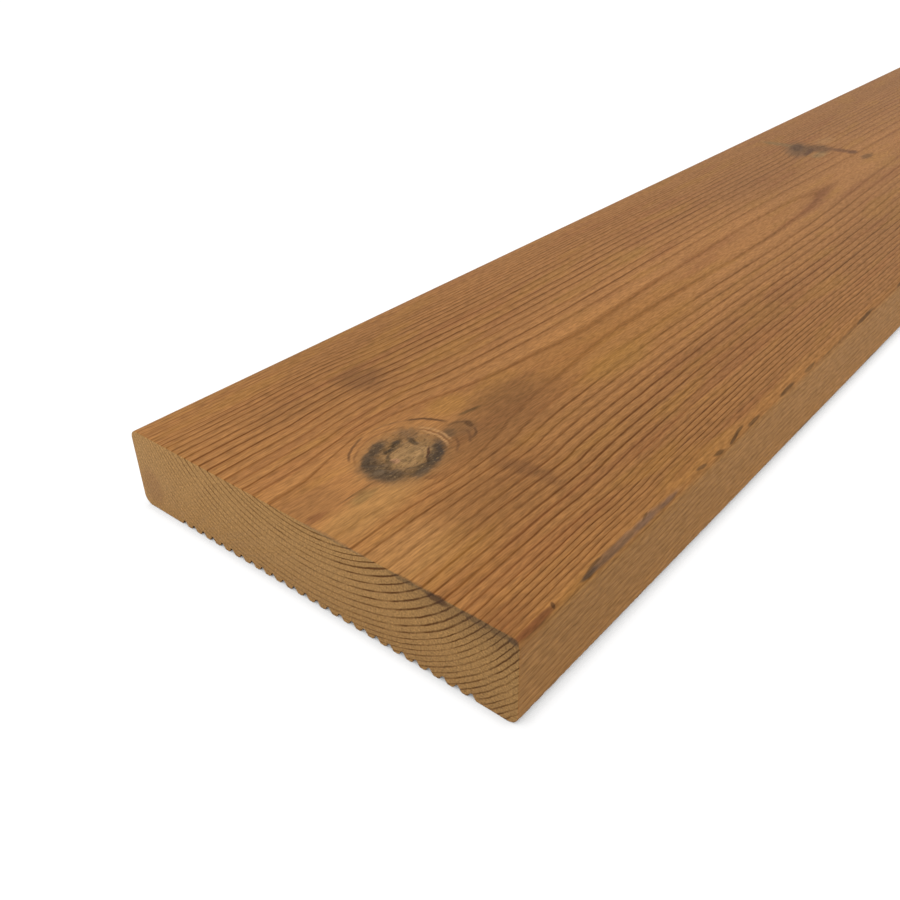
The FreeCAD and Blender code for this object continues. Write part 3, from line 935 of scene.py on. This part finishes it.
def build_board(material):
    """Board of the photograph: blank, then ribbed and worn by the node tree, as a plain mesh."""
    blank = bpy.data.objects.new("decking_board_wood", blank_board())
    bpy.context.scene.collection.objects.link(blank)
    tree, sizes = ribbing_and_relief(material)
    modifier = blank.modifiers.new("ribbing_and_relief", "NODES")
    modifier.node_group = tree
    for item in tree.interface.items_tree:
        if item.in_out == "INPUT" and item.name in sizes:
            modifier[item.identifier] = sizes[item.name]
    graph = bpy.context.evaluated_depsgraph_get()
    mesh = bpy.data.meshes.new_from_object(
        blank.evaluated_get(graph), preserve_all_data_layers=True, depsgraph=graph)
    mesh.name = "decking_board_wood"
    blank.modifiers.remove(modifier)
    blank.data = mesh
    return blank


# Studio

# Camera of the photograph: sensor and lens in mm, place in metres, and the ways that its right,
# its top and its back point
CAMERA_SENSOR = 36
CAMERA_LENS = 37.006
CAMERA_PLACE = (-1.0163667, -0.150719, 0.1624079)
CAMERA_RIGHT = (0.63817862, -0.76967805, -0.01799319)
CAMERA_UP = (0.42069634, 0.32905653, 0.84542084)
CAMERA_BACK = (-0.64478108, -0.54709917, 0.53379758)

# In metres and watts
FLOOR_HALF = 9.0
ROOM_LIGHT = 0.89
KEY_LAMP = {"place": (-1.6, 0.6, 2.2), "target": (-0.5, 0, 0), "size": 1.6, "power": 7}


def floor_finish():
    """Matt white card: white to the camera, with the narrow soft shadow where the board lies."""
    material = bpy.data.materials.new("white_card")
    material.use_nodes = True
    tree = material.node_tree
    tree.nodes.clear()
    seen = put(tree, "ShaderNodeLightPath").outputs["Is Camera Ray"]
    plain = put(tree, "ShaderNodeBsdfDiffuse", (0.8, 0.8, 0.8, 1))
    shadow = put(tree, "ShaderNodeBsdfDiffuse", (0.14, 0.14, 0.14, 1))
    open_sky = put(tree, "ShaderNodeAmbientOcclusion", sockets={"Distance": CONTACT_SHADOW * MM},
                   samples=2)
    open_sky = follow(tree, open_sky.outputs["AO"], [(0, 0.04), (0.4, 0.4), (0.5, 0.78),
                                                     (0.72, 0.9), (1, 0.95)])
    glow = put(tree, "ShaderNodeEmission", (1, 1, 1, 1), open_sky)
    shown = put(tree, "ShaderNodeAddShader", glow, shadow)
    put(tree, "ShaderNodeOutputMaterial", put(tree, "ShaderNodeMixShader", seen, plain, shown))
    return material


def build_floor():
    half = FLOOR_HALF
    corners = [(-half, -half, 0), (half, -half, 0), (half, half, 0), (-half, half, 0)]
    mesh = bpy.data.meshes.new("studio_floor")
    mesh.from_pydata(corners, [], [(0, 1, 2, 3)])
    mesh.materials.append(floor_finish())
    floor = bpy.data.objects.new("studio_floor", mesh)
    bpy.context.scene.collection.objects.link(floor)


def light_room(brightness):
    world = bpy.data.worlds.new("soft_studio")
    world.use_nodes = True
    tree = world.node_tree
    tree.nodes.clear()
    seen = put(tree, "ShaderNodeLightPath").outputs["Is Camera Ray"]
    room = put(tree, "ShaderNodeBackground", (1, 1, 1, 1), brightness)
    backdrop = put(tree, "ShaderNodeBackground", (1, 1, 1, 1), 1.0)
    put(tree, "ShaderNodeOutputWorld", put(tree, "ShaderNodeMixShader", seen, room, backdrop))
    bpy.context.scene.world = world


def soft_lamp(name, place, target, size, power):
    lamp = bpy.data.lights.new(name, "AREA")
    lamp.size = size
    lamp.energy = power
    thing = bpy.data.objects.new(name, lamp)
    thing.location = place
    thing.rotation_euler = (Vector(target) - Vector(place)).to_track_quat("-Z", "Y").to_euler()
    bpy.context.scene.collection.objects.link(thing)


def place_camera():
    """Camera of the photograph, found from the straight edges of the board."""
    data = bpy.data.cameras.new("camera")
    data.sensor_width = CAMERA_SENSOR
    data.lens = CAMERA_LENS
    data.clip_start = 0.01
    turn = Matrix((CAMERA_RIGHT, CAMERA_UP, CAMERA_BACK)).transposed().to_4x4()
    camera = bpy.data.objects.new("camera", data)
    camera.matrix_world = Matrix.Translation(CAMERA_PLACE) @ turn
    bpy.context.scene.collection.objects.link(camera)
    bpy.context.scene.camera = camera


board = build_board(heat_treated_pine())
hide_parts("decking_board")
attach(board, "root")

build_floor()
light_room(ROOM_LIGHT)
soft_lamp("key", **KEY_LAMP)
place_camera()
bpy.context.scene.view_settings.view_transform = "Standard"
